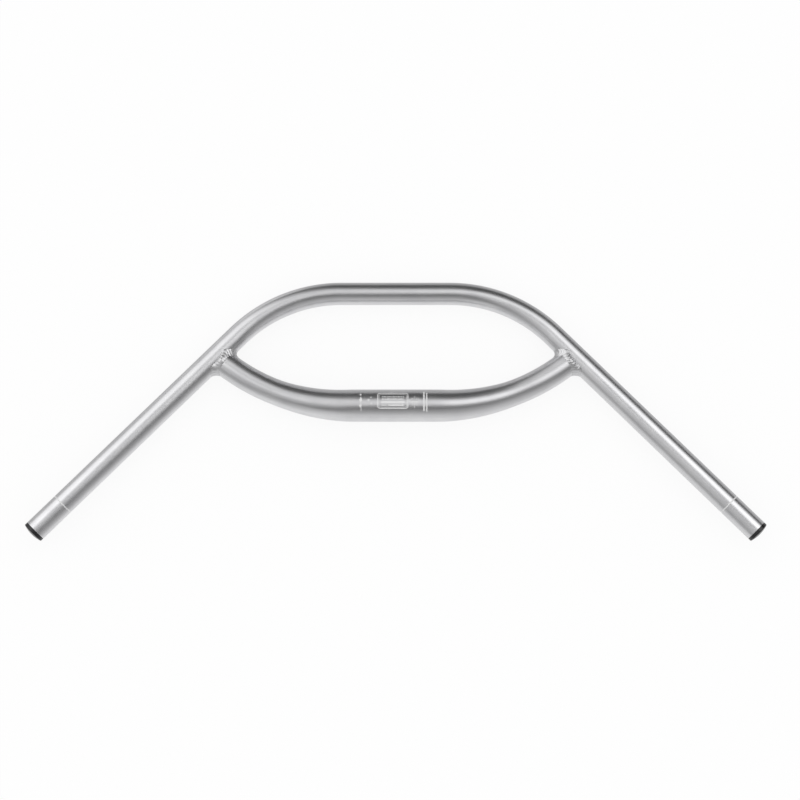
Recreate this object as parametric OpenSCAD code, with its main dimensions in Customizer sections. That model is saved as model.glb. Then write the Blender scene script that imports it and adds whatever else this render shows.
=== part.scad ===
// Loop handlebar: one bent main tube makes both grips and the front loop,
// and a fatter cross tube, necked and bowed, is welded between its arms.
// Origin: middle of the stem clamp zone, on the cross tube's axis.
// X runs across the bar, Y forward to the loop, Z up out of the bar's plane.

/* [Main tube] */
// Outside diameter of the grips and the loop
main_od = 22.2; // [19:0.1:25]
// Wall of the main tube
main_wall = 2.3; // [1.5:0.1:3.5]
// Straight front of the loop, between its two bends
loop_straight = 108; // [60:1:160]
// Bend radius of the loop, on the tube's axis
loop_bend_r = 144.5; // [110:0.5:180]
// Angle that each grip sweeps back from straight across
sweep = 45; // [38:0.5:50]
// Straight arm from the end of the bend to the open end of the grip
grip_arm = 276; // [180:1:320]
// Distance from the clamp's axis forward to the loop's straight
loop_ahead = 113.5; // [95:0.5:140]

/* [Cut marks] */
// Distance of the scored cut mark from the open end
mark_inset = 37; // [15:0.5:60]
// Width of the scored line
mark_w = 0.6; // [0.3:0.1:1.2]
// Depth of the scored line
mark_depth = 0.2; // [0.1:0.05:0.5]

/* [Cross tube] */
// Outside diameter of the stem clamp zone
clamp_od = 31.8; // [28:0.1:36]
// Length of the clamp zone at full diameter
clamp_len = 92; // [70:1:110]
// Wall in the clamp zone
clamp_wall = 2.3; // [1.6:0.1:3.5]
// Outside diameter of the necked ends
neck_od = 25.4; // [23.2:0.1:27]
// Wall of the necked ends, thickened by the swaging
neck_wall = 2.8; // [2:0.1:3.8]
// Length along the bow over which the tube tapers
taper_len = 70.5; // [40:0.5:90]
// Angle that each half of the cross tube bows forward
bow = 35; // [30:0.5:38]
// Straight end of the neck, from the bow to the main tube's axis
neck_straight = 22; // [20:0.5:40]

/* [Welds] */
// Radius of each round puddle that the bead is laid from
puddle_r = 4.9; // [3.5:0.1:6]
// Pitch of the puddles along the seam, which leaves the bead's ripples
puddle_pitch = 3.7; // [2.6:0.1:4.5]
// Depth of the puddles' middles below the tubes' faces at the crotches
puddle_sink = 0.2; // [0:0.05:1]
// Depth of the puddles' middles below the neck's crown, above and below the bar
puddle_drop = 3.6; // [2.5:0.1:4.5]

/* [End plugs] */
// Thickness of the plug's flange at its rim
flange_t = 3.5; // [2:0.1:6]
// Height of the crown in the middle of the flange
crown = 1.5; // [0.5:0.1:3]
// Rounding of the flange's outer edge
rim_r = 1.1; // [0.4:0.1:1.8]
// Length of the barrel inside the tube
barrel_len = 22; // [12:1:40]
// Wall of the barrel
barrel_wall = 1.8; // [1.2:0.1:2.6]
// Number of gripping fins round the barrel
fins = 4; // [2:1:6]
// How far each fin stands out of the barrel
fin_h = 1; // [0.5:0.1:1.5]
// Width of a fin's tip
fin_land = 0.6; // [0.4:0.1:1]
// Length of a fin's root, with its slope towards the barrel's mouth
fin_root = 2; // [1.4:0.1:3]
// Width of the crossed slots that let the barrel flex
slot_w = 2; // [1:0.1:4]
// Length of barrel next to the flange that the slots leave whole
slot_inset = 5; // [3:0.5:8]
// Clearance between a fin's tip and the tube's bore
plug_fit = 0.05; // [0:0.01:0.3]

/* [Hidden] */
$fn = 96;
bend_fn = 192;

// Neighbouring lengths of one tube overlap by a lap inside the wall, so that they fuse into one
// solid at every angle
lap = 0.1;
// The bow's facets stand a hair outside the round lengths that they meet
hair = 0.01;

main_r = main_od / 2;
bore_r = main_r - main_wall;
clamp_r = clamp_od / 2;
neck_r = neck_od / 2;
neck_bore_r = neck_r - neck_wall;

// Start of the grip arm, where the loop's bend ends
arm_start = [
    loop_straight / 2 + loop_bend_r * sin(sweep),
    loop_ahead - loop_bend_r * (1 - cos(sweep))
];

// The bow's radius follows from where the arm runs, because the neck has to end on its axis.
// arm_out is the arm's unit normal, and skew is how far the joint is from square.
arm_out = [sin(sweep), cos(sweep)];
skew = 90 - sweep - bow;
bow_r = (arm_start * arm_out - clamp_len / 2 * arm_out.x - neck_straight * cos(skew))
    / ([sin(bow), 1 - cos(bow)] * arm_out);
neck_start = [clamp_len / 2 + bow_r * sin(bow), bow_r * (1 - cos(bow))];
joint = neck_start + neck_straight * [cos(bow), sin(bow)];
bow_len = bow_r * bow * PI / 180;
bow_rings = 14;
bow_sides = 40;

// The neck is wider than the main tube, so it can't be notched round it all the way.
// Above and below it is cut off square, where the crown of its bore meets the main tube.
ear_trim = sqrt(pow(main_r, 2) - pow(min(neck_bore_r, main_r - 0.5), 2)) / cos(skew);

// The puddles' middles run round the seam: a saddle at a fixed distance from the main tube's
// axis, as wide as the neck, and lower than it above and below.
seam_side = neck_r - puddle_sink;
seam_top = neck_r - puddle_drop;
seam_reach = main_r - puddle_sink;

flat_r = main_r - rim_r;
crown_r = (pow(flat_r, 2) + pow(crown, 2)) / (2 * crown);
barrel_r = bore_r - plug_fit - fin_h;
fin_pitch = barrel_len / (fins + 0.5);

module annulus(od, wall) {
    difference() {
        circle(d = od);
        circle(d = od - 2 * wall);
    }
}

// A straight length of tube along +X. Its seam is at -Y, the outer side of a bend towards +Y,
// where the bent tube has its own: the two only fuse cleanly with their seams in line.
module straight_tube(od, wall, len) {
    rotate([-90, 0, -90]) linear_extrude(len) annulus(od, wall);
}

// A bent length of tube from the origin, which starts along +X and turns towards +Y
module bent_tube(od, wall, r, turn) {
    translate([0, r, 0]) rotate([0, 0, -90])
        rotate_extrude(angle = turn, $fn = bend_fn) translate([r, 0]) annulus(od, wall);
}

// Places its children at the end of such a bend
module past_bend(r, turn) {
    translate([0, r, 0]) rotate([0, 0, turn]) translate([0, -r, 0]) children();
}

// One point of the bow, s along it in mm, r out from its middle line and a round its section
function bow_point(s, r, a) =
    let (turn = s / bow_r * 180 / PI)
    [
        (bow_r - r * cos(a)) * sin(turn),
        bow_r - (bow_r - r * cos(a)) * cos(turn),
        r * sin(a)
    ];

// Radius s along the bow between a wide and a narrow end, to the corners of the section
function bow_r_at(s, wide, narrow) =
    (wide + (narrow - wide) * min(1, s / taper_len) + hair) / cos(180 / bow_sides);

// A quad between ring j and ring k, at place i of n, with the rings' points from base on
function quad(base, n, j, k, i) =
    [base + j * n + i, base + k * n + i, base + k * n + (i + 1) % n, base + j * n + (i + 1) % n];

// The swaged and bent length between the clamp zone and the straight neck: it tapers first, and
// then keeps the neck's size
module bow_tube() {
    n = bow_sides;
    at = [for (j = [0:bow_rings]) j / bow_rings * bow_len];
    clamp_bore_r = clamp_r - clamp_wall;
    skin = [for (s = at, i = [0:n - 1]) bow_point(s, bow_r_at(s, clamp_r, neck_r), i * 360 / n)];
    bore = [for (s = at, i = [0:n - 1])
        bow_point(s, bow_r_at(s, clamp_bore_r, neck_bore_r), i * 360 / n)];
    inner = len(skin);
    end = bow_rings * n;
    polyhedron(concat(skin, bore), concat(
        [for (j = [0:bow_rings - 1], i = [0:n - 1]) quad(0, n, j, j + 1, i)],
        [for (j = [0:bow_rings - 1], i = [0:n - 1]) quad(inner, n, j + 1, j, i)],
        [for (i = [0:n - 1]) [i, (i + 1) % n, inner + (i + 1) % n, inner + i]],
        [for (i = [0:n - 1])
            let (next = end + (i + 1) % n) [next, end + i, inner + end + i, inner + next]]
    ));
}

// Joint frame of the right-hand side: the origin where the axes cross, +X back along the neck
module at_joint() {
    translate([joint.x, joint.y, 0]) rotate([0, 0, 180 + bow]) children();
}

// The grip arm's outside as a solid bar, in its own place
module arm_bar() {
    at_loop_bend() past_bend(loop_bend_r, sweep) rotate([0, 90, 0]) cylinder(r = main_r, h = grip_arm);
}

// Middle of the puddle at angle a round the neck, in the joint frame
function seam(a) =
    let (y = seam_side * cos(a), z = seam_top * sin(a))
    [(sqrt(pow(seam_reach, 2) - pow(z, 2)) - y * sin(skew)) / cos(skew), y, z];

function seam_length(a = 0, step = 5) =
    a >= 360 ? 0 : norm(seam(a + step) - seam(a)) + seam_length(a + step, step);

// The bead all round the joint: overlapping puddles, cut to seat on both tubes
module weld() {
    puddles = round(seam_length() / puddle_pitch);
    difference() {
        at_joint() for (k = [0:puddles - 1]) translate(seam((k + 0.5) * 360 / puddles))
            sphere(r = puddle_r, $fn = 64);
        arm_bar();
        at_joint() translate([ear_trim, 0, 0]) rotate([0, 90, 0])
            cylinder(r = neck_r, h = neck_straight);
    }
}

// The straight grip arm from the loop's bend to its open end, scored with its cut mark.
// A ring in the middle of its wall laps the bend.
module grip() {
    translate([-lap, 0, 0]) straight_tube(main_od - main_wall / 2, main_wall / 2, 2 * lap);
    difference() {
        straight_tube(main_od, main_wall, grip_arm);
        translate([grip_arm - mark_inset, 0, 0]) rotate([0, 90, 0]) difference() {
            cylinder(r = main_r + 1, h = mark_w);
            translate([0, 0, -1]) cylinder(r = main_r - mark_depth, h = mark_w + 2);
        }
    }
}

// Places its children where the right-hand bend of the loop starts, and turns it backwards
module at_loop_bend() {
    translate([loop_straight / 2, loop_ahead, 0]) mirror([0, 1, 0]) children();
}

module main_tube_side() {
    at_loop_bend() {
        bent_tube(main_od, main_wall, loop_bend_r, sweep);
        past_bend(loop_bend_r, sweep) grip();
    }
}

module main_tube() {
    color("silver") {
        at_loop_bend() translate([-loop_straight, 0, 0])
            straight_tube(main_od, main_wall, loop_straight);
        main_tube_side();
        mirror([1, 0, 0]) main_tube_side();
    }
}

module cross_tube_side() {
    translate([clamp_len / 2, 0, 0]) bow_tube();
    difference() {
        at_joint() translate([ear_trim, 0, 0])
            straight_tube(neck_od, neck_wall, neck_straight - ear_trim + lap);
        arm_bar();
    }
}

module cross_tube() {
    color("silver") {
        translate([-clamp_len / 2 - lap, 0, 0])
            straight_tube(clamp_od, clamp_wall, clamp_len + 2 * lap);
        cross_tube_side();
        mirror([1, 0, 0]) cross_tube_side();
    }
}

module weld_right() {
    color("gainsboro") weld();
}

module weld_left() {
    color("gainsboro") mirror([1, 0, 0]) weld();
}

// Half section of the flange, with its rounded rim and a crown that is part of a sphere
module flange_profile() {
    square([flat_r, flange_t]);
    square([main_r, flange_t - rim_r]);
    translate([flat_r, flange_t - rim_r]) circle(rim_r);
    intersection() {
        translate([0, flange_t + crown - crown_r]) circle(crown_r, $fn = 360);
        square([flat_r, flange_t + crown]);
    }
}

// Outline of one fin: square towards the flange, sloped towards the barrel's mouth
function fin(y) = [
    [barrel_r, y], [barrel_r + fin_h, y], [barrel_r + fin_h, y - fin_land], [barrel_r, y - fin_root]
];

// Half section of the barrel, which starts inside the flange
module barrel_profile() {
    polygon(concat(
        [[barrel_r - barrel_wall, -barrel_len], [barrel_r - barrel_wall, flange_t / 3]],
        [[barrel_r, flange_t / 3]],
        [for (k = [0:fins - 1], p = fin(-fin_pitch * (k + 0.5))) p],
        [[barrel_r, -barrel_len]]
    ));
}

// End plug in its own frame: the tube's end at the origin, +Z out of the tube
module end_plug() {
    difference() {
        union() {
            rotate_extrude() flange_profile();
            rotate_extrude() barrel_profile();
        }
        for (turn = [0, 90]) rotate([0, 0, turn])
            translate([-main_r, -slot_w / 2, -barrel_len - 1])
            cube([main_od, slot_w, barrel_len - slot_inset + 1]);
    }
}

module end_plug_right() {
    color("#1c1c1c") at_loop_bend() past_bend(loop_bend_r, sweep)
        translate([grip_arm, 0, 0]) rotate([0, 90, 0]) end_plug();
}

module end_plug_left() {
    mirror([1, 0, 0]) end_plug_right();
}

main_tube();
cross_tube();
weld_left();
weld_right();
end_plug_left();
end_plug_right();
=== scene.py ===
"""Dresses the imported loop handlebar: satin tubes, rippled weld beads, moulded plugs, etched marks.

All sizes are in millimetres, in the frame of the CAD part, and become metres where a mesh is made.
"""
import math

import bpy
import numpy as np
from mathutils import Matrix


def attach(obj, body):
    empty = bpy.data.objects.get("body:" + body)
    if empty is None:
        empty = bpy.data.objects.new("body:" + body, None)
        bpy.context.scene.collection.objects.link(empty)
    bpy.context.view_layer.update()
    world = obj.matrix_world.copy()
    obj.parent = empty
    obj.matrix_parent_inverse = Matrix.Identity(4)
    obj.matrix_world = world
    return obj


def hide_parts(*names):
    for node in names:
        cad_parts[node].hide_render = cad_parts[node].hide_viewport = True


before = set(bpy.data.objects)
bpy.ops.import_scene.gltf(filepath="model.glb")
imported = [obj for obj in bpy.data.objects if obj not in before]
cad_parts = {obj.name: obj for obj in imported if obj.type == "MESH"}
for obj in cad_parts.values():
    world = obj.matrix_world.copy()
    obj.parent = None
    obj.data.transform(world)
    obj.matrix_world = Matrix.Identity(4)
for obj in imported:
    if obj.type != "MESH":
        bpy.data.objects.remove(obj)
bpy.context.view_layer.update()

MM = 0.001

# Main tube
MAIN_R = 11.1
MAIN_BORE_R = 8.8
LOOP_HALF = 54.0
LOOP_BEND_R = 144.5
SWEEP = math.radians(45)
GRIP_ARM = 276.0
LOOP_AHEAD = 113.5
END_CHAMFER = 0.3

# Cut mark scored round each grip, its place measured along the arm
MARK_AT = 239.0
MARK_W = 0.6
MARK_DEPTH = 0.2
MARK_BURR = 0.25  # bare metal on either side of the groove
MARK_LIP = 0.02  # half the width of the groove's sloping sides

# Cross tube
CLAMP_R = 15.9
CLAMP_BORE_R = 13.6
CLAMP_HALF = 46.0
NECK_R = 12.7
NECK_BORE_R = 9.9
TAPER_LEN = 70.5
TAPER_EASE = 9.0
BOW = math.radians(35)
NECK_STRAIGHT = 22.0
NECK_SUNK = 0.05  # how deep the neck's end stands in the main tube's face
# The neck's wall stops this far from the main tube's axis above and below the bar. It is a
# little more than in the CAD part, and the difference is under the bead.
EAR_TRIM = 7.0

# Where the arm begins, along the main tube and in the bar's plane, and outwards square to it
ARM_AT = LOOP_HALF + LOOP_BEND_R * SWEEP
ARM_START = np.array([
    LOOP_HALF + LOOP_BEND_R * math.sin(SWEEP),
    LOOP_AHEAD - LOOP_BEND_R * (1 - math.cos(SWEEP)),
])
ARM_OUT = np.array([math.sin(SWEEP), math.cos(SWEEP)])
# The neck meets the arm this far off square, and the bow's radius brings its axis onto the arm's
SKEW = math.pi / 2 - SWEEP - BOW
BOW_R = (
    ARM_START @ ARM_OUT - CLAMP_HALF * ARM_OUT[0] - NECK_STRAIGHT * math.cos(SKEW)
) / (np.array([math.sin(BOW), 1 - math.cos(BOW)]) @ ARM_OUT)
BOW_END = CLAMP_HALF + BOW_R * BOW
NECK_START = np.array([CLAMP_HALF + BOW_R * math.sin(BOW), BOW_R * (1 - math.cos(BOW))])
JOINT = NECK_START + NECK_STRAIGHT * np.array([math.cos(BOW), math.sin(BOW)])

# The right joint's frame: X back along the neck, Y in the bar's plane, Z up
ORIGIN = np.array([JOINT[0], JOINT[1], 0])
AXES = np.array([
    [-math.cos(BOW), -math.sin(BOW), 0],
    [math.sin(BOW), -math.cos(BOW), 0],
    [0, 0, 1],
])
# In that frame, along the main tube and square to it towards the neck
MAIN_ALONG = np.array([-math.sin(SKEW), math.cos(SKEW), 0])
MAIN_OUT = np.array([math.cos(SKEW), math.sin(SKEW), 0])

SIDES = 96  # of a round section
TO_LEFT = np.array([-1, 1, 1])  # mirrors a point


# Meshes

def add_mesh(name, verts_mm, faces, materials, smooth_angle=35):
    mesh = bpy.data.meshes.new(name)
    mesh.from_pydata([tuple(v) for v in np.asarray(verts_mm) * MM], [], faces)
    mesh.polygons.foreach_set("use_smooth", [True] * len(mesh.polygons))
    mesh.set_sharp_from_angle(angle=math.radians(smooth_angle))
    for m in materials:
        mesh.materials.append(m)
    mesh.validate()
    obj = bpy.data.objects.new(name, mesh)
    bpy.context.scene.collection.objects.link(obj)
    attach(obj, "root")
    return obj


def ring_faces(rings, sides):
    """Quads of a closed band of rings, each joined to the next and the last to the first."""
    faces = []
    for j in range(rings):
        k = (j + 1) % rings
        for i in range(sides):
            n = (i + 1) % sides
            faces.append((j * sides + i, j * sides + n, k * sides + n, k * sides + i))
    return faces


def ring(centre, tangent, radius):
    """A round section: its first point is on the tangent's right-hand side, in the bar's plane."""
    a = np.arange(SIDES) * 2 * math.pi / SIDES
    side = np.array([tangent[1], -tangent[0], 0.0])
    up = np.array([0.0, 0.0, 1.0])
    c = np.array([centre[0], centre[1], 0.0])
    return c + radius * (np.cos(a)[:, None] * side + np.sin(a)[:, None] * up)


def tube_rings(half_rings):
    """All rings from the left end to the right one, for the right half's rings from the middle."""
    left = [r * TO_LEFT for r in half_rings[1:]]
    return left[::-1] + half_rings


def bent_path(s, y, straight, bend_r, turn, hand):
    """Centre and tangent, s along an axis that runs out from the middle, bends and runs on.

    y is the place of its middle. hand is 1 where it bends forward and -1 where it bends back.
    """
    bend = bend_r * turn
    if s <= straight:
        return np.array([s, y]), np.array([1.0, 0.0])
    t = (s - straight) / bend_r if s <= straight + bend else turn
    centre = np.array([straight + bend_r * math.sin(t), y + hand * bend_r * (1 - math.cos(t))])
    tangent = np.array([math.cos(t), hand * math.sin(t)])
    return centre + max(0.0, s - straight - bend) * tangent, tangent


def main_path(s):
    return bent_path(s, LOOP_AHEAD, LOOP_HALF, LOOP_BEND_R, SWEEP, -1)


def cross_path(s):
    return bent_path(s, 0.0, CLAMP_HALF, BOW_R, BOW, 1)


def taper(s, wide, narrow):
    """Radius at s, with the ends of the swaged taper eased into the straight lengths."""
    u = s - CLAMP_HALF
    ramp = 0.0
    steps = 9
    for k in range(steps):
        e = (k / (steps - 1) * 2 - 1) * TAPER_EASE
        ramp += min(1.0, max(0.0, (u + e) / TAPER_LEN)) / steps
    return wide + (narrow - wide) * ramp


def spread(a, b, step):
    """Even places from a to b, no more than a step apart."""
    return list(np.linspace(a, b, max(2, int(math.ceil((b - a) / step)) + 1)))


def smoothed(values, times):
    """A closed row of values, each drawn towards its two neighbours so many times."""
    for _ in range(times):
        values = (np.roll(values, 1, 0) + 2 * values + np.roll(values, -1, 0)) / 4
    return values


def unit(vectors):
    return vectors / np.linalg.norm(vectors, axis=-1, keepdims=True)


# Node trees

def feed(tree, value, socket):
    """Links a value that another node gives, or sets a plain one."""
    if isinstance(value, bpy.types.NodeSocket):
        tree.links.new(value, socket)
    else:
        socket.default_value = value


def computed(tree, operation, a, b):
    node = tree.nodes.new("ShaderNodeMath")
    node.operation = operation
    feed(tree, a, node.inputs[0])
    feed(tree, b, node.inputs[1])
    return node.outputs["Value"]


def ranged(tree, value, from_min, from_max, to_min, to_max, interpolation="LINEAR"):
    node = tree.nodes.new("ShaderNodeMapRange")
    node.interpolation_type = interpolation
    node.inputs["From Min"].default_value = from_min
    node.inputs["From Max"].default_value = from_max
    node.inputs["To Min"].default_value = to_min
    node.inputs["To Max"].default_value = to_max
    tree.links.new(value, node.inputs["Value"])
    return node.outputs["Result"]


def mixed(tree, factor, a, b):
    """A colour between a and b, each a colour or what another node gives."""
    node = tree.nodes.new("ShaderNodeMix")
    node.data_type = "RGBA"
    tree.links.new(factor, node.inputs["Factor"])
    for socket, colour in ((node.inputs["A"], a), (node.inputs["B"], b)):
        feed(tree, (*colour, 1) if isinstance(colour, tuple) else colour, socket)
    return node.outputs["Result"]


def mixed_shaders(tree, share, a, b):
    node = tree.nodes.new("ShaderNodeMixShader")
    tree.links.new(share, node.inputs["Fac"])
    tree.links.new(a, node.inputs[1])
    tree.links.new(b, node.inputs[2])
    return node.outputs["Shader"]


# Materials

def new_material(name):
    m = bpy.data.materials.new(name)
    m.use_nodes = True
    tree = m.node_tree
    return m, tree, tree.nodes["Principled BSDF"]


def noise(tree, scale, detail):
    """3-D noise in the part's own place, scale in features a metre."""
    coord = tree.nodes.new("ShaderNodeTexCoord")
    tex = tree.nodes.new("ShaderNodeTexNoise")
    tex.inputs["Scale"].default_value = scale
    tex.inputs["Detail"].default_value = detail
    tree.links.new(coord.outputs["Object"], tex.inputs["Vector"])
    return tex.outputs["Fac"]


def varied(tree, value, low, high):
    """A number that runs from low to high over the range that noise mostly keeps to."""
    return ranged(tree, value, 0.3, 0.7, low, high)


def mottled(tree, value, dark, pale):
    return mixed(tree, varied(tree, value, 0, 1), dark, pale)


def bumped(tree, bsdf, value, strength, distance_mm):
    node = tree.nodes.new("ShaderNodeBump")
    node.inputs["Strength"].default_value = strength
    node.inputs["Distance"].default_value = distance_mm * MM
    tree.links.new(value, node.inputs["Height"])
    tree.links.new(node.outputs["Normal"], bsdf.inputs["Normal"])


def satin_alloy():
    m, tree, bsdf = new_material("satin_alloy")
    bsdf.inputs["Metallic"].default_value = 1.0
    cloudy = noise(tree, scale=60, detail=4)
    colour = mottled(tree, cloudy, (0.70, 0.70, 0.715), (0.76, 0.76, 0.77))
    tree.links.new(colour, bsdf.inputs["Base Color"])
    grain = noise(tree, scale=6000, detail=2)
    tree.links.new(varied(tree, grain, 0.25, 0.36), bsdf.inputs["Roughness"])
    bumped(tree, bsdf, grain, strength=0.12, distance_mm=0.006)
    return m


def weld_alloy():
    m, tree, bsdf = new_material("weld_alloy")
    bsdf.inputs["Metallic"].default_value = 1.0
    grain = noise(tree, scale=1500, detail=3)
    soot_and_trough_shade = tree.nodes.new("ShaderNodeAttribute")
    soot_and_trough_shade.attribute_name = "soot_and_trough_shade"
    clean = mottled(tree, grain, (0.64, 0.64, 0.65), (0.74, 0.74, 0.75))
    # the dark colour is soot along the toes and painted shade in the troughs between ripples
    colour = mixed(tree, soot_and_trough_shade.outputs["Fac"], clean, (0.36, 0.35, 0.35))
    tree.links.new(colour, bsdf.inputs["Base Color"])
    tree.links.new(varied(tree, grain, 0.36, 0.48), bsdf.inputs["Roughness"])
    bumped(tree, bsdf, grain, strength=0.25, distance_mm=0.04)
    return m


def etched():
    m, tree, bsdf = new_material("etched")
    bsdf.inputs["Metallic"].default_value = 0.35
    grain = noise(tree, scale=3000, detail=2)
    colour = mottled(tree, grain, (0.72, 0.72, 0.72), (0.86, 0.86, 0.86))
    tree.links.new(colour, bsdf.inputs["Base Color"])
    bsdf.inputs["Roughness"].default_value = 0.6
    return m


def black_plastic():
    m, tree, bsdf = new_material("black_plastic")
    grain = noise(tree, scale=2200, detail=3)
    colour = mottled(tree, grain, (0.008, 0.008, 0.009), (0.016, 0.016, 0.017))
    tree.links.new(colour, bsdf.inputs["Base Color"])
    tree.links.new(varied(tree, grain, 0.16, 0.26), bsdf.inputs["Roughness"])
    bumped(tree, bsdf, grain, strength=0.2, distance_mm=0.02)
    return m


SATIN = satin_alloy()
WELD = weld_alloy()
ETCHED = etched()
PLASTIC = black_plastic()


# Tubes

def build_main_tube():
    end = ARM_AT + GRIP_ARM
    cut = ARM_AT + MARK_AT
    cut_end = cut + MARK_W
    groove = MAIN_R - MARK_DEPTH
    before = (
        spread(0, LOOP_HALF, step=12)
        + spread(LOOP_HALF, ARM_AT, step=2.4)[1:]
        + spread(ARM_AT, cut - 1, step=12)[1:]
    )
    score = [
        (cut - MARK_BURR, MAIN_R), (cut - MARK_LIP, MAIN_R), (cut + MARK_LIP, groove),
        (cut_end - MARK_LIP, groove), (cut_end + MARK_LIP, MAIN_R), (cut_end + MARK_BURR, MAIN_R),
    ]
    outer = [(s, MAIN_R) for s in before] + score
    outer += [(s, MAIN_R) for s in spread(cut + 2, end - END_CHAMFER, step=9)]
    outer += [(end, MAIN_R - END_CHAMFER)]
    bore = [(0.0, MAIN_BORE_R)]
    bore += [(s, MAIN_BORE_R) for s in spread(LOOP_HALF, ARM_AT, step=5)[:-1]]
    bore += [(s, MAIN_BORE_R) for s in spread(ARM_AT, end - END_CHAMFER, step=30)]
    bore += [(end, MAIN_BORE_R + END_CHAMFER)]
    skin, inside = (tube_rings([ring(*main_path(s), r) for s, r in row]) for row in (outer, bore))
    rings = skin + inside[::-1]
    faces = ring_faces(len(rings), SIDES)
    obj = add_mesh("main_tube_skin", np.vstack(rings), faces, [SATIN, ETCHED])
    # the scored bands are bare cut metal, on the right and, mirrored, on the left
    middle = len(outer) - 1
    for band in range(len(before), len(before) + len(score) - 1):
        for j in (middle + band, middle - band - 1):
            for i in range(SIDES):
                obj.data.polygons[j * SIDES + i].material_index = 1
    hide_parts("main_tube")
    return obj


def saddle(y, z, sunk):
    """How far along the neck its wall ends, at y, z round its axis, in the joint's frame."""
    low = np.sqrt(np.maximum((MAIN_R - sunk) ** 2 - z**2, 0))
    return np.maximum(EAR_TRIM, (low - y * math.sin(SKEW)) / math.cos(SKEW))


def neck_rings(radius, count):
    """Rings from the bow's end to the saddle, in the same order round as ring() gives."""
    _, tangent = cross_path(BOW_END + 1)
    flat = ring((0, 0), tangent, radius)
    y = flat @ AXES[1]
    z = flat[:, 2]
    stop = saddle(y, z, NECK_SUNK)
    rings = []
    for t in np.linspace(0, 1, count + 1)[1:]:
        x = NECK_STRAIGHT + (stop - NECK_STRAIGHT) * t
        rings.append(ORIGIN + x[:, None] * AXES[0] + y[:, None] * AXES[1] + z[:, None] * AXES[2])
    return rings


def build_cross_tube():
    eased = CLAMP_HALF - TAPER_EASE
    stations = spread(0, eased, step=12) + spread(eased, BOW_END, step=2.5)[1:]
    outer = [ring(*cross_path(s), taper(s, CLAMP_R, NECK_R)) for s in stations]
    stations = spread(0, CLAMP_HALF, step=23) + spread(CLAMP_HALF, BOW_END, step=6)[1:]
    bore = [ring(*cross_path(s), taper(s, CLAMP_BORE_R, NECK_BORE_R)) for s in stations]
    skin = tube_rings(outer + neck_rings(NECK_R, count=8))
    inside = tube_rings(bore + neck_rings(NECK_BORE_R, count=4))
    rings = skin + inside[::-1]
    faces = ring_faces(len(rings), SIDES)
    obj = add_mesh("cross_tube_skin", np.vstack(rings), faces, [SATIN])
    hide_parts("cross_tube")
    return obj


# Welds

# Sizes of a bead above and below the bar, and what comes on top where it crosses the bar's plane
LEG_MAIN = (2.0, 3.7)  # from the corner to the toe on the main tube
LEG_NECK = (5.6, 0.4)  # from the end of the neck's wall to the toe on the neck
THROAT = (0.7, 2.1)  # from the corner to the middle of the bead's face
ROOT_DEPTH = 0.8  # of the bead's hidden inner line under the corner
TOE_SUNK = 0.35  # how deep both toes end in the tubes
TOE_PROUD = 0.05  # the most that the rows next to the toes stand out

SEAM_POINTS = 720
BEAD_ROWS = 24  # of quads, from toe to toe
RIPPLE_POINTS = 16
RIPPLE_PITCH = 2.9
RIPPLE_HEIGHT = 0.24
RIPPLE_BOW = 0.62  # how far along the seam a ripple's ends are from its middle, in pitches
RIPPLE_MEAN = 0.62  # of a ripple's shape, so that ripples don't thicken the bead
RIPPLE_SLACK = 0.05  # uneven spacing, in pitches
SCALLOP = 0.16  # in and out along the toes, once a ripple
TOE_WOBBLE = 0.10
LUMP = 0.05

SOOT_EDGE = 0.2  # share of the bead's half width that is sooty at each toe
SOOT_PATCHES = 5  # along the seam


def grown(sizes, side):
    return sizes[0] + sizes[1] * side


def seam_point(a):
    """Corner of neck and main tube at angle a round the neck, and the end of the neck's wall."""
    y, z = NECK_R * math.cos(a), NECK_R * math.sin(a)
    x = float(saddle(np.array(y), np.array(z), 0.0))
    out = x * math.cos(SKEW) + y * math.sin(SKEW)
    on_main = math.sqrt(max(MAIN_R**2 - out**2, 0))
    return np.array([x, y, math.copysign(min(abs(z), on_main), z)]), np.array([x, y, z])


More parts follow.
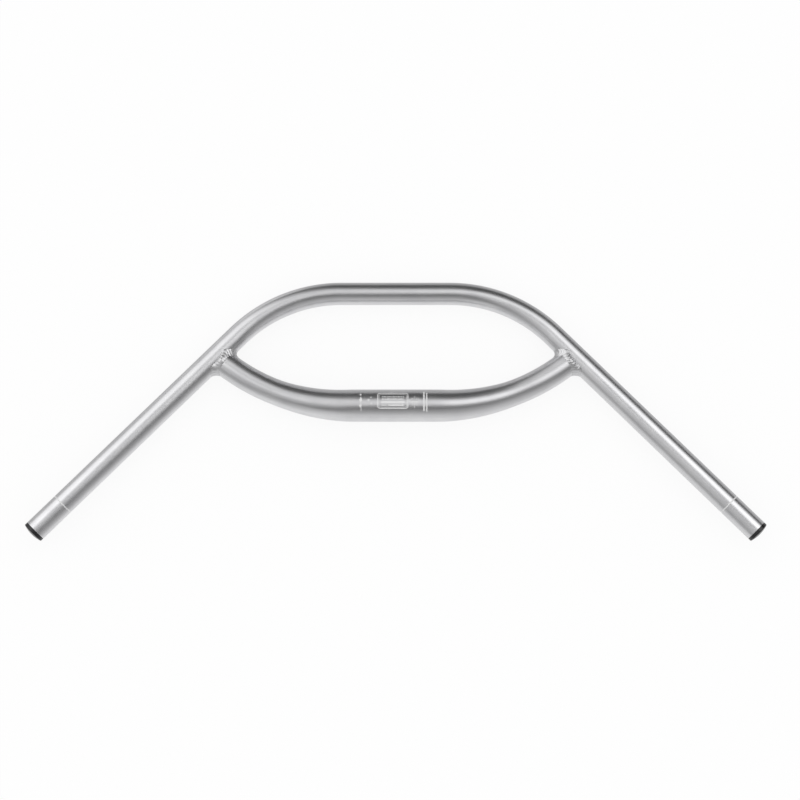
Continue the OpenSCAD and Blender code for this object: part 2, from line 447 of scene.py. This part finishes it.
def build_weld(name, node, mirror, seed):
    """A bead round a joint, with ripples that lap the other way on the mirrored side."""
    rng = np.random.default_rng(seed)
    angles = np.arange(SEAM_POINTS) * 2 * math.pi / SEAM_POINTS
    corners, edges = (np.array(row) for row in zip(*(seam_point(a) for a in angles)))
    steps = np.linalg.norm(np.roll(corners, -1, 0) - corners, axis=1)
    length = np.concatenate([[0], np.cumsum(steps)])
    ripples = int(round(length[-1] / RIPPLE_PITCH))
    along = ripples * RIPPLE_POINTS
    share = np.arange(along) / along
    at = share * length[-1]

    def evened(points):
        closed = np.vstack([points, points[:1]])
        return smoothed(np.stack([np.interp(at, length, closed[:, k]) for k in range(3)], 1), 12)

    corner = evened(corners)
    edge = evened(edges)
    # 1 where the seam crosses the bar's plane, 0 above and below the bar
    around = np.interp(at, length, np.append(angles, 2 * math.pi))
    side = np.abs(np.cos(around))[:, None] ** 1.5

    # both legs, uneven along the seam
    phase = at / length[-1] * ripples
    wobble = rng.normal(0, 1, (ripples, 3))[np.floor(phase).astype(int) % ripples]

    def leg(sizes, shift, uneven):
        scallop = SCALLOP * np.cos(2 * math.pi * phase + shift) + TOE_WOBBLE * uneven
        return smoothed(grown(sizes, side[:, 0]) + scallop, 4)[:, None]

    leg_main = leg(LEG_MAIN, 0, wobble[:, 0])
    leg_neck = leg(LEG_NECK, 0.6, wobble[:, 1])

    # the toe on the main tube: the seam unrolled on that tube's face, moved out sideways
    turn = np.arctan2(corner[:, 2], corner @ MAIN_OUT) * MAIN_R
    flat = np.stack([corner @ MAIN_ALONG, turn], 1)
    d = np.roll(flat, -3, 0) - np.roll(flat, 3, 0)
    out = unit(np.stack([d[:, 1], -d[:, 0]], 1))
    if (out * (flat - flat.mean(0))).sum() < 0:
        out = -out
    toe_flat = flat + out * leg_main
    b = toe_flat[:, 1] / MAIN_R
    toe_main = (
        toe_flat[:, :1] * MAIN_ALONG
        + (MAIN_R * np.cos(b))[:, None] * MAIN_OUT
        + (MAIN_R * np.sin(b))[:, None] * np.array([0, 0, 1.0])
    )
    toe_neck = edge + leg_neck * np.array([1.0, 0, 0])

    # a curved face from toe to toe, and the hidden line that closes the bead behind it
    neck_out = unit(edge * np.array([0, 1, 1]))
    main_out = unit(corner - (corner @ MAIN_ALONG)[:, None] * MAIN_ALONG)
    bisector = unit(neck_out + main_out)
    middle = edge * (1 - side) + corner * side + bisector * grown(THROAT, side)
    control = 2 * middle - 0.5 * (toe_main + toe_neck)
    root = corner - bisector * ROOT_DEPTH
    s = np.linspace(0, 1, BEAD_ROWS + 1)
    parts = (((1 - s) ** 2, toe_main), (2 * s * (1 - s), control), (s**2, toe_neck))
    face = sum(weight[None, :, None] * points[:, None] for weight, points in parts)

    # ripples on it
    v = 2 * s - 1
    way = 1 if mirror else -1
    ripple = way * phase[:, None] + RIPPLE_BOW * (v**2)[None, :] + RIPPLE_SLACK * wobble[:, 2:]
    crest = np.abs(np.sin(math.pi * ripple)) ** 0.8
    fade = (1 - np.abs(v) ** 3)[None, :]
    height = (crest - RIPPLE_MEAN) * RIPPLE_HEIGHT * (0.25 + 0.75 * fade)
    height += LUMP * wobble[:, :1] * fade
    height[:, 0] = height[:, -1] = -TOE_SUNK
    for row in (1, -2):
        height[:, row] = np.minimum(height[:, row], TOE_PROUD)
    face = face + unit(face - root[:, None]) * height[:, :, None]

    rows = np.concatenate([face, root[:, None]], axis=1)
    count = rows.shape[1]
    world = ORIGIN + rows.reshape(-1, 3) @ AXES
    faces = ring_faces(along, count)
    if mirror:
        world = world * TO_LEFT
    else:
        faces = [f[::-1] for f in faces]
    obj = add_mesh(name, world, faces, [WELD], smooth_angle=60)

    # soot in patches along the toes and, fainter, painted shade in the troughs between ripples
    patches = 0.5 + 0.5 * np.sin(share * 2 * math.pi * SOOT_PATCHES + seed)
    toes = np.clip((np.abs(v) - (1 - SOOT_EDGE)) / SOOT_EDGE, 0, 1)[None, :]
    # painted shade: the troughs between ripples are darkened as if shade fell there
    painted_trough_shade = np.clip(1 - crest * 2.2, 0, 1) * 0.35
    soot_and_trough_shade = np.zeros((along, count))
    soot_and_trough_shade[:, :-1] = np.clip(toes * (0.15 + 0.55 * patches[:, None]) + painted_trough_shade * fade, 0, 1)
    layer = obj.data.attributes.new("soot_and_trough_shade", "FLOAT", "POINT")
    layer.data.foreach_set("value", soot_and_trough_shade.ravel().astype(np.float32))
    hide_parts(node)
    return obj


# Etched marks of the clamp zone

PATCH_PROUD = 0.03
PATCH_SUNK = 0.05
PATCH_ROW = 0.8  # the most that a flat patch spans round the tube, so that it follows its face


def rows_in(span):
    return max(1, int(math.ceil(abs(span) / PATCH_ROW)))


def mark_patch(verts, faces, outline):
    """Adds a thin raised patch, outlined by (x, arc) pairs, arc being round from the top line."""
    pairs = zip(outline, outline[1:] + outline[:1])
    if sum(a[0] * b[1] - b[0] * a[1] for a, b in pairs) < 0:
        outline = outline[::-1]
    base = len(verts)
    n = len(outline)
    for r in (CLAMP_R - PATCH_SUNK, CLAMP_R + PATCH_PROUD):
        for x, arc in outline:
            b = arc / CLAMP_R
            verts.append((x, r * math.sin(b), r * math.cos(b)))
    faces.append(tuple(base + n + i for i in range(n)))
    faces.append(tuple(base + i for i in reversed(range(n))))
    for i in range(n):
        j = (i + 1) % n
        faces.append((base + i, base + j, base + n + j, base + n + i))


def build_marks():
    """Graduations and a plain framed panel, placed along the tube and round from its top line."""
    verts, faces = [], []

    def block(left, right, low, high):
        levels = np.linspace(low, high, rows_in(high - low) + 1)
        for a, b in zip(levels[:-1], levels[1:]):
            mark_patch(verts, faces, [(left, a), (right, a), (right, b), (left, b)])

    def bar(x, low, high, width):
        block(x - width / 2, x + width / 2, low, high)

    def diamond(x, arc, half_w, half_h):
        levels = np.linspace(-half_h, half_h, 2 * rows_in(half_h) + 1)
        for a, b in zip(levels[:-1], levels[1:]):
            wa, wb = (half_w * (1 - abs(t) / half_h) for t in (a, b))
            low = [(x - wa, arc + a), (x + wa, arc + a)]
            high = [(x + wb, arc + b), (x - wb, arc + b)]
            if a == levels[0]:
                low = low[1:]
            elif b == levels[-1]:
                high = high[:1]
            mark_patch(verts, faces, low + high)

    def frame_line(left, right, low, high, radius, width, width_across):
        """A rounded rectangle's line, width_across being its width on the sides along the tube."""
        turns = [(right, high, 0), (left, high, 90), (left, low, 180), (right, low, 270)]
        inner_x, inner_y = radius - width, radius - width_across
        outer, inner = [], []
        for x, arc, start in turns:
            cx = x - (radius if x == right else -radius)
            cy = arc - (radius if arc == high else -radius)
            for t in np.radians(np.linspace(start, start + 90, 7)):
                outer.append(np.array([cx + radius * math.cos(t), cy + radius * math.sin(t)]))
                inner.append(np.array([cx + inner_x * math.cos(t), cy + inner_y * math.sin(t)]))
        for i in range(len(outer)):
            j = (i + 1) % len(outer)
            cuts = rows_in(outer[j][1] - outer[i][1])
            for k in range(cuts):
                t0, t1 = k / cuts, (k + 1) / cuts
                places = ((outer, t0), (outer, t1), (inner, t1), (inner, t0))
                mark_patch(verts, faces, [tuple(p[i] + (p[j] - p[i]) * t) for p, t in places])

    # framed panel, with two rows of ticks of uneven widths and plain bars
    frame_line(-18.1, 12.3, -6.1, 11.2, radius=2.9, width=0.85, width_across=0.85)
    frame_line(-16.5, 10.7, -4.8, 9.4, radius=2.0, width=0.35, width_across=0.4)
    for k in range(14):
        x = -13.4 + k * 1.56
        block(x, x + (0.7, 1.1, 0.6)[k % 3], 5.5, 7.0)
        block(x - 0.2, x + (0.9, 0.5, 0.7, 1.0)[k % 4], 2.7, 4.4)
    block(-14.4, 8.8, -0.6, 1.7)
    block(-7.4, 8.0, -3.3, -1.9)
    block(-14.2, -9.0, -3.1, -2.2)
    bar(-4.3, 11.4, 13.4, width=0.6)
    # column of diamonds on the left
    diamond(-34.4, 8.9, 1.1, 1.6)
    diamond(-34.3, 2.9, 1.5, 3.6)
    diamond(-34.6, -2.9, 1.6, 2.0)
    bar(-34.0, -8.6, -4.4, width=0.6)
    for x, arc, size in ((-26.6, 2.6, 1.3), (-24.4, 5.6, 0.9), (-24.1, -0.8, 0.9)):
        diamond(x, arc, size, size)
    # graduations on the right, the longest in the middle
    rising = [(0.3, 4.0), (-0.6, 5.0), (-3.0, 5.2)]
    for k, (low, high) in enumerate(rising + [(-5.4, 7.0)] + rising[::-1]):
        bar(13.2 + k * 1.75, low, high, width=0.5)
    block(14.2, 22.6, 0.2, 1.3)
    bar(27.6, -8.4, 13.2, width=1.5)
    bar(30.3, -9.0, 11.4, width=1.2)
    obj = add_mesh("clamp_marks", verts, faces, [ETCHED], smooth_angle=30)
    return obj


build_main_tube()
build_cross_tube()
build_weld("weld_bead_left", "weld_left", mirror=True, seed=5)
build_weld("weld_bead_right", "weld_right", mirror=False, seed=11)
build_marks()
for side in ("left", "right"):
    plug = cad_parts["end_plug_" + side]
    plug.data.materials.clear()
    plug.data.materials.append(PLASTIC)


# Floor: the flat surface that the bar lies on, touching the clamp zone and the loop's front

FLOOR_HALF_M = 6.0
FLOOR_WHITE = 0.88  # share of plain white, and the rest keeps the bar's shadow
FLOOR_CLEAR = 0.65  # share that is clear in reflections


def floor_material():
    m, tree, bsdf = new_material("floor")
    bsdf.inputs["Base Color"].default_value = (0.93, 0.93, 0.93, 1)
    bsdf.inputs["Roughness"].default_value = 0.9
    bsdf.inputs["Specular IOR Level"].default_value = 0.0
    white = tree.nodes.new("ShaderNodeEmission").outputs["Emission"]
    clear = tree.nodes.new("ShaderNodeBsdfTransparent").outputs["BSDF"]
    rays = tree.nodes.new("ShaderNodeLightPath").outputs
    # plain white where it is seen or mirrored
    seen = computed(tree, "ADD", rays["Is Camera Ray"], rays["Is Glossy Ray"])
    seen = computed(tree, "ADD", seen, rays["Is Transmission Ray"])
    share = computed(tree, "MULTIPLY", seen, FLOOR_WHITE)
    plate = mixed_shaders(tree, share, bsdf.outputs["BSDF"], white)
    # in reflections it is laid thinly over the studio's pale table
    thin = computed(tree, "MULTIPLY", rays["Is Glossy Ray"], FLOOR_CLEAR)
    surface = mixed_shaders(tree, thin, plate, clear)
    tree.links.new(surface, tree.nodes["Material Output"].inputs["Surface"])
    return m


def build_floor():
    slope = math.asin((CLAMP_R - MAIN_R) / LOOP_AHEAD)
    h = FLOOR_HALF_M
    mesh = bpy.data.meshes.new("floor")
    mesh.from_pydata([(-h, -h, 0), (h, -h, 0), (h, h, 0), (-h, h, 0)], [], [(0, 1, 2, 3)])
    mesh.materials.append(floor_material())
    obj = bpy.data.objects.new("floor", mesh)
    obj.location = (0, 0, -CLAMP_R * MM / math.cos(slope))
    obj.rotation_euler = (slope, 0, 0)
    bpy.context.scene.collection.objects.link(obj)


build_floor()


# Light

# azimuth from +X and zenith angle of the middle, inner and outer radius, strength
STUDIO = [
    (122, 16, 21, 29, 0.35),  # overhead panel
    (19, 35, 4, 36, 1.76),  # right soft box
    (151, 54, 2, 46, 1.27),  # left soft box
    (-162, 34, 26, 29, 0.52),  # its fill, towards the rider's side
    (-76, 68, 2, 44, 0.37),  # low panel on the rider's side
    (231, 88, 33, 40, 0.34),  # another beside it, on the left
    (-79, 150, 35, 50, 0.40),  # pale table below
    (-58, 159, 60, 107, 0.35),  # its wide glow
    (119, 102, 2, 21, 0.67),  # far edge of the table, on the left
]
GLOOM = 0.05  # between the patches


def sky_patch(tree, direction, azimuth, zenith, inner, outer, strength):
    """A soft-edged patch of light in the sky, all angles in degrees, as a value to add up."""
    az, ze, inner, outer = (math.radians(a) for a in (azimuth, zenith, inner, outer))
    middle = (math.sin(ze) * math.cos(az), math.sin(ze) * math.sin(az), math.cos(ze))
    dot = tree.nodes.new("ShaderNodeVectorMath")
    dot.operation = "DOT_PRODUCT"
    tree.links.new(direction, dot.inputs[0])
    dot.inputs[1].default_value = middle
    nearness = dot.outputs["Value"]
    return ranged(tree, nearness, math.cos(outer), math.cos(inner), 0, strength, "SMOOTHSTEP")


def build_world():
    """Even light for matt surfaces, and a studio of soft patches for what metal reflects."""
    world = bpy.data.worlds.new("studio")
    bpy.context.scene.world = world
    world.use_nodes = True
    tree = world.node_tree
    background = tree.nodes["Background"]
    background.inputs["Color"].default_value = (1, 1, 1, 1)
    direction = tree.nodes.new("ShaderNodeTexCoord").outputs["Generated"]
    total = GLOOM
    for spec in STUDIO:
        total = computed(tree, "ADD", sky_patch(tree, direction, *spec), total)
    rays = tree.nodes.new("ShaderNodeLightPath").outputs
    mix = tree.nodes.new("ShaderNodeMix")
    mix.data_type = "FLOAT"
    tree.links.new(rays["Is Glossy Ray"], mix.inputs["Factor"])
    mix.inputs["A"].default_value = 1.0
    tree.links.new(total, mix.inputs["B"])
    tree.links.new(mix.outputs["Result"], background.inputs["Strength"])


build_world()


# Camera, at the photograph's place, as fitted to the tubes' outlines

PICTURE_PX = 800
FOCAL_PX = 2027
AXIS_PX = 395.78  # where the camera looks, from the picture's left edge
SENSOR = 36.0
DISTANCE_M = 2.0
TILT = math.radians(11.1)
AIM_Y_M = 0.0057


def build_camera():
    data = bpy.data.cameras.new("camera")
    data.sensor_width = SENSOR
    data.lens = FOCAL_PX / PICTURE_PX * SENSOR
    data.shift_x = (PICTURE_PX / 2 - AXIS_PX) / PICTURE_PX
    data.clip_end = 50
    cam = bpy.data.objects.new("camera", data)
    cam.location = (0, AIM_Y_M - DISTANCE_M * math.sin(TILT), DISTANCE_M * math.cos(TILT))
    cam.rotation_euler = (TILT, 0, 0)
    bpy.context.scene.collection.objects.link(cam)
    bpy.context.scene.camera = cam


build_camera()
bpy.context.scene.view_settings.view_transform = "Standard"
